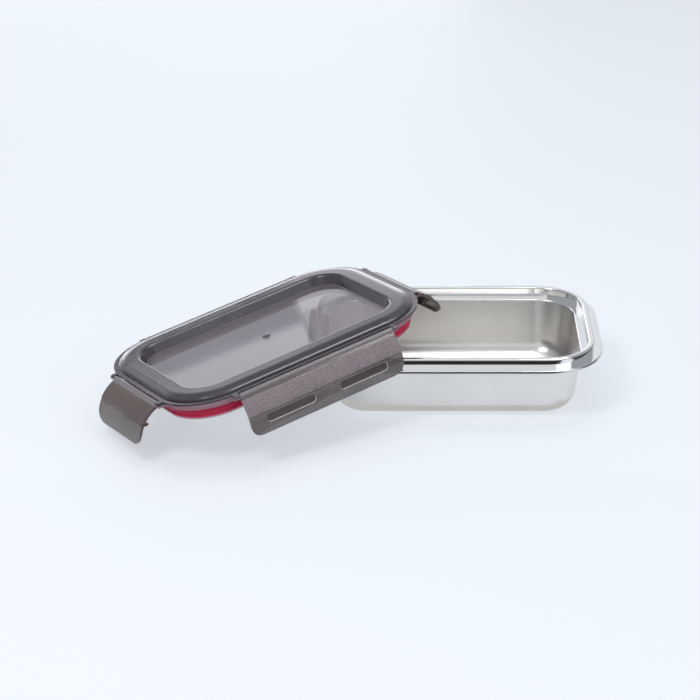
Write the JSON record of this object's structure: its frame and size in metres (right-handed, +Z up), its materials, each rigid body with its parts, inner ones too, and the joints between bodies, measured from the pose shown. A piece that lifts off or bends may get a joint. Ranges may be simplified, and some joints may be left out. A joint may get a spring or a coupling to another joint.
{
  "type": "lunch box",
  "caption": "Rectangular steel lunch box tub with a rolled rim, and a smoked plastic lid with a recessed window, red seal and hinged side clips, open with the lid leaning on the tub.",
  "frame": {"origin": "centre of the flat underside of the steel tub, on the table", "axes": "+X along the tub's long side away from the lid, +Y to the back, +Z up"},
  "size_m": [0.3012, 0.18, 0.0702],
  "materials": {
    "steel": "satin drawn stainless steel with a polished rim",
    "lid_plastic": "smoked translucent moulded plastic, polished",
    "window_plastic": "thin smoked translucent plastic, polished",
    "seal_silicone": "crimson silicone, satin",
    "clip_plastic": "smoked translucent plastic, frosted grain above, polished band below",
    "rod_plastic": "smoked plastic rod"
  },
  "bodies": {
    "tub": {"steel_tub": "steel"},
    "lid": {"lid_frame": "lid_plastic", "lid_window": "window_plastic", "lid_seal": "seal_silicone", "hinge_rod_left": "rod_plastic", "hinge_rod_right": "rod_plastic", "hinge_rod_front": "rod_plastic", "hinge_rod_back": "rod_plastic"},
    "clip_left": {"clip_left": "clip_plastic"},
    "clip_right": {"clip_right": "clip_plastic"},
    "clip_front": {"clip_front": "clip_plastic"},
    "clip_back": {"clip_back": "clip_plastic"}
  },
  "joints": [
    {"name": "lid_lift", "type": "slide", "parent": "tub", "child": "lid", "axis": [0, 0, 1], "range_m": [0, 0.14]},
    {"name": "clip_left_hinge", "type": "hinge", "parent": "lid", "child": "clip_left", "pos_m": [-0.18812, -0.07918, 0.03371], "axis": [-0.5077, 0.8555, -0.1018], "range_deg": [-31.9, 100]},
    {"name": "clip_right_hinge", "type": "hinge", "parent": "lid", "child": "clip_right", "pos_m": [-0.03889, 0.01299, 0.06401], "axis": [0.5077, -0.8555, 0.1018], "range_deg": [-33, 99]},
    {"name": "clip_front_hinge", "type": "hinge", "parent": "lid", "child": "clip_front", "pos_m": [-0.08228, -0.08571, 0.05512], "axis": [-0.8384, -0.5178, -0.1702], "range_deg": [-4, 128]},
    {"name": "clip_back_hinge", "type": "hinge", "parent": "lid", "child": "clip_back", "pos_m": [-0.14473, 0.01952, 0.0426], "axis": [0.8384, 0.5178, 0.1702], "range_deg": [-31.9, 100]}
  ]
}
